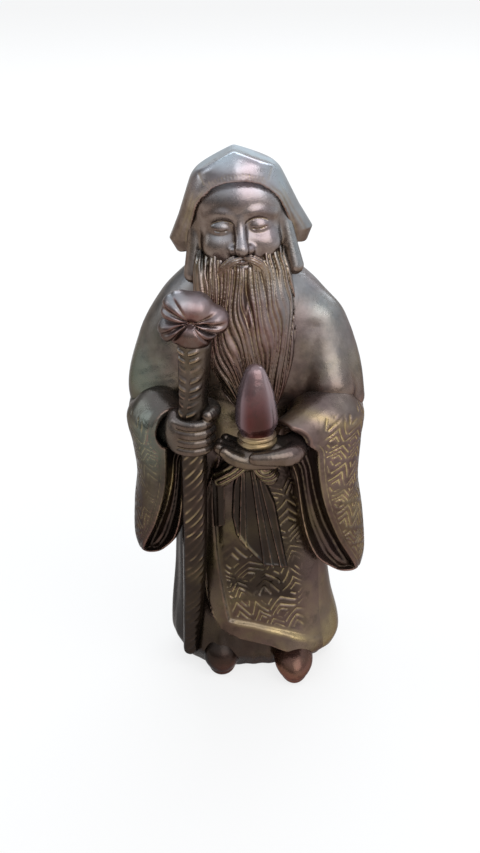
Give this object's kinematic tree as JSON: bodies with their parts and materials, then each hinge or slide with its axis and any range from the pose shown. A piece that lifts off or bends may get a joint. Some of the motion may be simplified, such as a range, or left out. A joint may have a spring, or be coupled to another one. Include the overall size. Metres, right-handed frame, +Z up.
{
  "type": "metal sculpture",
  "caption": "Standing bronze figure of a bearded old sage in a long robe and gabled hood, with a gnarled staff in one fist and a peach on the open palm.",
  "frame": {"origin": "under the middle of the figure's bounding box, on the surface that it stands on", "axes": "+Z up the figure's height, -Y the way that it faces, +X its left hand's side"},
  "size_m": [0.077, 0.0618, 0.1804],
  "materials": {
    "robe": "dark brown patina, satin, brassy in the cuts",
    "sash": "dark brown patina, satin",
    "skin": "rubbed brown patina, half gloss",
    "hair": "red-brown patina, satin, brassy grooves",
    "staff": "dark brown patina, satin, brassy grooves",
    "peach": "red-brown patina, polished"
  },
  "bodies": {
    "root": {"robe": "robe", "right_sleeve": "robe", "left_sleeve": "robe", "hat": "robe", "right_shoe": "robe", "left_shoe": "robe", "sash_bow": "sash", "sash_tails": "sash", "head": "skin", "right_hand": "skin", "left_hand": "skin", "beard": "hair", "staff": "staff", "staff_knob": "staff", "peach": "peach"}
  },
  "joints": []
}
